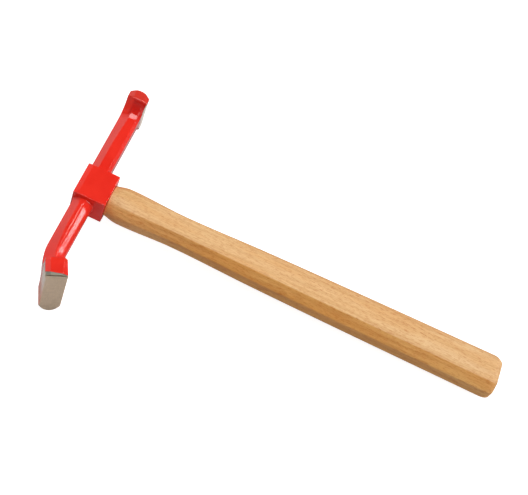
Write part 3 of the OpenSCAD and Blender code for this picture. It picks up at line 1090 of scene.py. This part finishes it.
def hickory():
    """Ring-porous wood with fine dark pores along the grain."""
    m = Nodes("handle_wood_look")
    x, y, z = m.parts(m.place)
    early = growth_rings(m, x, y, z)
    sides = facing_sides(m)
    fibre = m.grain((0.09, 2.0, 2.0), 3.0, 0.6)
    tone = m.grain((0.015, 0.12, 0.12), 2.0)
    streak = m.grain((0.012, 0.42, 0.42), 3.0, 0.6)
    pore = m.grain((0.27, 1.5, 1.5), 2.0, 0.7)
    pores = m.times(m.ramp(pore, 0.53, 0.58), m.math("MULTIPLY_ADD", early, 0.4, 0.6))

    wood = m.mix(m.ramp(tone, 0.35, 0.65), WOOD_PALE, WOOD_WARM)
    figure = m.times(early, m.math("MULTIPLY_ADD", sides, 0.25, 0.22))
    wood = m.mix(figure, wood, WOOD_RING)
    wood = m.mix(m.times(m.ramp(streak, 0.46, 0.64), 0.42), wood, WOOD_STREAK)
    wood = m.mix(m.times(m.ramp(fibre, 0.40, 0.70), 0.22), wood, WOOD_RING)
    wood = m.mix(m.times(pores, PORE_SHARE), wood, WOOD_PORE)
    darker = m.times(sides, m.ramp(x, *SIDE_GRAIN_OVER, SIDE_GRAIN_LEAST, 1.0))
    wood = m.mix(darker, wood, m.mix(1.0, wood, SIDE_GRAIN, "MULTIPLY"))
    wood = m.mix(m.ramp(x, *BUTT_GRAIN_OVER), wood, m.mix(1.0, wood, BUTT_GRAIN, "MULTIPLY"))
    m.look("Base Color", wood)
    m.look("Roughness", m.ramp(fibre, 0.2, 0.8, 0.40, 0.54))
    grain = m.bump(m.math("SUBTRACT", m.times(fibre, 0.5), pores), PORE_DEPTH)
    m.look("Normal", grain)
    return m.material


WEDGE_PALE = (0.60, 0.36, 0.16)
WEDGE_DARK = (0.44, 0.23, 0.085)
WEDGE_PORE = (0.22, 0.10, 0.035)
WEDGE_GRAIN_DEPTH = 0.08


def wedge_timber():
    """Paler end-grain wood of the wooden wedge."""
    m = Nodes("wedge_wood_look")
    fibre = m.grain((0.3, 1.2, 3.0), 3.0, 0.6)
    pore = m.grain((0.3, 3.0, 3.0), 1.0)
    wood = m.mix(m.ramp(fibre, 0.3, 0.7), WEDGE_PALE, WEDGE_DARK)
    wood = m.mix(m.times(m.ramp(pore, 0.58, 0.68), 0.6), wood, WEDGE_PORE)
    m.look("Base Color", wood)
    m.look("Roughness", m.ramp(fibre, 0.2, 0.8, 0.55, 0.75))
    m.look("Normal", m.bump(m.math("SUBTRACT", fibre, pore), WEDGE_GRAIN_DEPTH))
    return m.material


FORGED_PALE = (0.34, 0.31, 0.28)
FORGED_DARK = (0.16, 0.14, 0.125)
PIT_DEPTH = 0.06


def dark_steel():
    """Plain forged steel of the small wedge, darkened and lightly pitted."""
    m = Nodes("wedge_steel_look")
    scale = m.noise(m.place, 1.1, 4.0, 0.65)
    pits = m.noise(m.place, 3.0, 2.0)
    m.look("Base Color", m.mix(m.ramp(scale, 0.3, 0.7), FORGED_PALE, FORGED_DARK))
    m.look("Metallic", 0.9)
    m.look("Roughness", m.ramp(pits, 0.3, 0.7, 0.35, 0.6))
    m.look("Normal", m.bump(pits, PIT_DEPTH))
    return m.material


FLOOR_DARK = (0.53, 0.53, 0.53)
FLOOR_PALE = (0.57, 0.57, 0.57)
FLOOR_GLOW = 0.9


def pale_floor():
    """Pale floor that looks evenly white to the camera and throws back only part of the light."""
    m = Nodes("floor_look")
    tone = m.noise(m.place, 0.01, 2.0)
    m.look("Base Color", m.mix(tone, FLOOR_DARK, FLOOR_PALE))
    m.look("Roughness", 0.9)
    m.look("Specular IOR Level", 0.1)
    m.look("Emission Color", (1.0, 1.0, 1.0))
    path = m.add("ShaderNodeLightPath")
    glow = m.times(path.outputs["Is Camera Ray"], FLOOR_GLOW)
    m.look("Emission Strength", glow)
    return m.material

# ---------------- pieces

def set_field(piece, name, values):
    """Stores a number per vertex for the material to read."""
    field = piece.data.attributes.new(name, "FLOAT", "POINT")
    field.data.foreach_set("value", values)


def make_head():
    piece = add_piece("forged_head", head_mesh(), "head", painted_steel())
    to_tool = LAID.inverted()
    spots = [to_tool @ v.co for v in piece.data.vertices]
    set_field(piece, "bare_depth", [bare_depth(p) for p in spots])
    set_field(piece, "ground_side", [side_share(p) for p in spots])
    set_field(piece, "edge", edge_share(piece))
    weigh_normals(piece)


SHORTEST_EDGE = 0.05
SHARP_FOLD = 1.2


def edge_share(piece):
    """1 on sharp outward edges and 0 on flat or hollow surfaces, from the fold per millimetre of edge."""
    shape = bmesh.new()
    shape.from_mesh(piece.data)
    shares = []
    for v in shape.verts:
        folds = [0.0]
        for edge in v.link_edges:
            folds.append(edge.calc_face_angle_signed(0.0) / max(edge.calc_length() / MM, SHORTEST_EDGE))
        shares.append(min(1.0, max(folds) / SHARP_FOLD))
    shape.free()
    return shares


def cut(piece, cutters):
    """Takes the cutters out of a piece and removes them."""
    for cutter in cutters:
        tool = piece.modifiers.new("slot", "BOOLEAN")
        tool.operation = "DIFFERENCE"
        tool.solver = "EXACT"
        tool.object = cutter
    graph = bpy.context.evaluated_depsgraph_get()
    mesh = bpy.data.meshes.new_from_object(piece.evaluated_get(graph))
    piece.modifiers.clear()
    piece.data = mesh
    for cutter in cutters:
        bpy.data.objects.remove(cutter)


def wedge_space(name, deep, thick, half_wide, swap):
    """Plain tapered space that a wedge fills."""
    outer = -BLOCK_LEN / 2 - 1
    inner = -BLOCK_LEN / 2 + deep + DRIVE_GAP
    halves = (thick / 2 * (1 + 1 / deep) + DRIVE_GAP, thick / 2 * POINT_SHARE + DRIVE_GAP)
    points = []
    for x, half in zip((outer, inner), halves):
        for a, b in ((-1, -1), (1, -1), (1, 1), (-1, 1)):
            wide, tall = a * half_wide, b * half
            points.append((x, tall, wide) if swap else (x, wide, tall))
    faces = [(0, 1, 2, 3), (7, 6, 5, 4)] + [(i, i + 4, (i + 1) % 4 + 4, (i + 1) % 4) for i in range(4)]
    return closed_mesh(name, points, faces)


def make_handle():
    piece = add_piece("hickory_handle", handle_mesh(), "handle", hickory())
    kerf = wedge_space("kerf", WEDGE_DEEP, WEDGE_THICK, EYE_HIGH / 2 + 1, False)
    slot = wedge_space("cross_slot", STEEL_DEEP, STEEL_THICK, STEEL_WIDE / 2 + DRIVE_GAP, True)
    cut(piece, [kerf, slot])
    weigh_normals(piece)


def make_wedges():
    wood = taper_mesh(WEDGE_DEEP, WEDGE_THICK, EYE_HIGH / 2 - WEDGE_SHORT, WEDGE_RECESS, WOOD_EDGE, False)
    wooden = add_piece("wooden_wedge_look", wood, "wooden_wedge", wedge_timber())
    slot = wedge_space("cross_slot", STEEL_DEEP, STEEL_THICK, STEEL_WIDE / 2 + DRIVE_GAP, True)
    cut(wooden, [slot])
    weigh_normals(wooden)
    metal = taper_mesh(STEEL_DEEP, STEEL_THICK, STEEL_WIDE / 2, 0.0, STEEL_EDGE, True)
    steel = add_piece("steel_wedge_look", metal, "steel_wedge", dark_steel())
    weigh_normals(steel)

# ---------------- stage, light and camera

FLOOR_HALF = 6.0


def make_floor():
    mesh = bpy.data.meshes.new("floor")
    shape = bmesh.new()
    bmesh.ops.create_grid(shape, x_segments=8, y_segments=8, size=FLOOR_HALF)
    shape.to_mesh(mesh)
    shape.free()
    floor = bpy.data.objects.new("floor", mesh)
    bpy.context.scene.collection.objects.link(floor)
    mesh.materials.append(pale_floor())


HEAD_SPOT = Vector((0, 0, 0))
GRIP_SPOT = Vector((HANDLE_REACH / 2, 0, 0))
ARM_SPOT = Vector((0, -38, 5))
# Each light: name, direction from its spot, distance and size in metres, power in watts, and its spot.
# The directions of the room's lights are in the row frame.
ROOM_LIGHTS = [
    ("overhead", (-0.10, 0.12, 0.99), 1.1, (0.34, 0.60), 5.3, HEAD_SPOT),
    ("key", (0.72, 0.0, 0.69), 1.6, (1.0, 0.8), 13.2, GRIP_SPOT),
    ("fill", (0.70, -0.65, 0.30), 1.6, (1.0, 0.7), 2.3, GRIP_SPOT),
    ("left", (-0.90, -0.26, 0.33), 1.6, (0.8, 0.8), 1.15, HEAD_SPOT),
    ("side", (-0.75, 0.47, 0.48), 1.6, (1.35, 1.5), 5.6, HEAD_SPOT),
]
# Two small lights draw the bright streaks on the enamel. Their directions are in the tool's frame.
STREAK_LIGHTS = [
    ("panel", (0.744, 0.55, 0.382), 0.95, (0.11, 0.12), 0.55, ARM_SPOT),
    ("strip", (0.200, 0.55, 0.812), 0.95, (0.09, 0.11), 0.80, ARM_SPOT),
]
WORLD_STRENGTH = 0.36
# The world is white up to the first height of its direction and grey from the second one.
WORLD_FADE = (0.05, 0.65)
WORLD_LOW = (1.0, 1.0, 1.0, 1.0)
WORLD_HIGH = (0.22, 0.22, 0.22, 1.0)


def add_light(name, toward, distance, size, power, spot):
    """Soft rectangular light at a distance from a spot on the tool, in a direction in the row frame."""
    data = bpy.data.lights.new(name, "AREA")
    data.shape = "RECTANGLE"
    data.size, data.size_y = size
    data.energy = power
    light = bpy.data.objects.new(name, data)
    bpy.context.scene.collection.objects.link(light)
    direction = Vector(toward).normalized()
    light.location = LAID @ spot + direction * distance
    light.rotation_euler = direction.to_track_quat("Z", "Y").to_euler()


def make_world():
    world = bpy.data.worlds.new("studio")
    bpy.context.scene.world = world
    world.use_nodes = True
    tree = world.node_tree
    tree.nodes.clear()
    output = tree.nodes.new("ShaderNodeOutputWorld")
    back = tree.nodes.new("ShaderNodeBackground")
    place = tree.nodes.new("ShaderNodeTexCoord")
    split = tree.nodes.new("ShaderNodeSeparateXYZ")
    fade = tree.nodes.new("ShaderNodeValToRGB")
    for element, height, grey in zip(fade.color_ramp.elements, WORLD_FADE, (WORLD_LOW, WORLD_HIGH)):
        element.position = height
        element.color = grey
    tree.links.new(place.outputs["Generated"], split.inputs[0])
    tree.links.new(split.outputs["Z"], fade.inputs["Fac"])
    tree.links.new(fade.outputs["Color"], back.inputs["Color"])
    tree.links.new(back.outputs["Background"], output.inputs["Surface"])
    back.inputs["Strength"].default_value = WORLD_STRENGTH


def make_lights():
    for light in ROOM_LIGHTS:
        add_light(*light)
    to_row = LAID.to_3x3().normalized()
    for name, toward, *rest in STREAK_LIGHTS:
        add_light(name, to_row @ Vector(toward), *rest)


# Place in millimetres and directions of the picture's right and down sides, all in the tool's frame.
CAMERA_PLACE = Vector((89.0, -464.29, 717.34))
CAMERA_RIGHT = Vector((0.90568, 0.32970, 0.26655))
CAMERA_DOWN = Vector((0.42201, -0.76146, -0.49202))
CAMERA_LENS = 82.8
SENSOR_WIDE = 36.0


def make_camera():
    data = bpy.data.cameras.new("camera")
    data.lens = CAMERA_LENS
    data.sensor_width = SENSOR_WIDE
    camera = bpy.data.objects.new("camera", data)
    bpy.context.scene.collection.objects.link(camera)
    to_row = LAID.to_3x3().normalized()
    right = (to_row @ CAMERA_RIGHT).normalized()
    forward = right.cross(to_row @ CAMERA_DOWN).normalized()
    up = right.cross(forward).normalized()
    turn = Matrix((right, up, -forward)).transposed()
    camera.matrix_world = Matrix.Translation(LAID @ CAMERA_PLACE) @ turn.to_4x4()
    bpy.context.scene.camera = camera


make_camera()
make_head()
make_handle()
make_wedges()
make_floor()
make_world()
make_lights()
bpy.context.scene.view_settings.view_transform = "Standard"

bpy.context.view_layer.update()
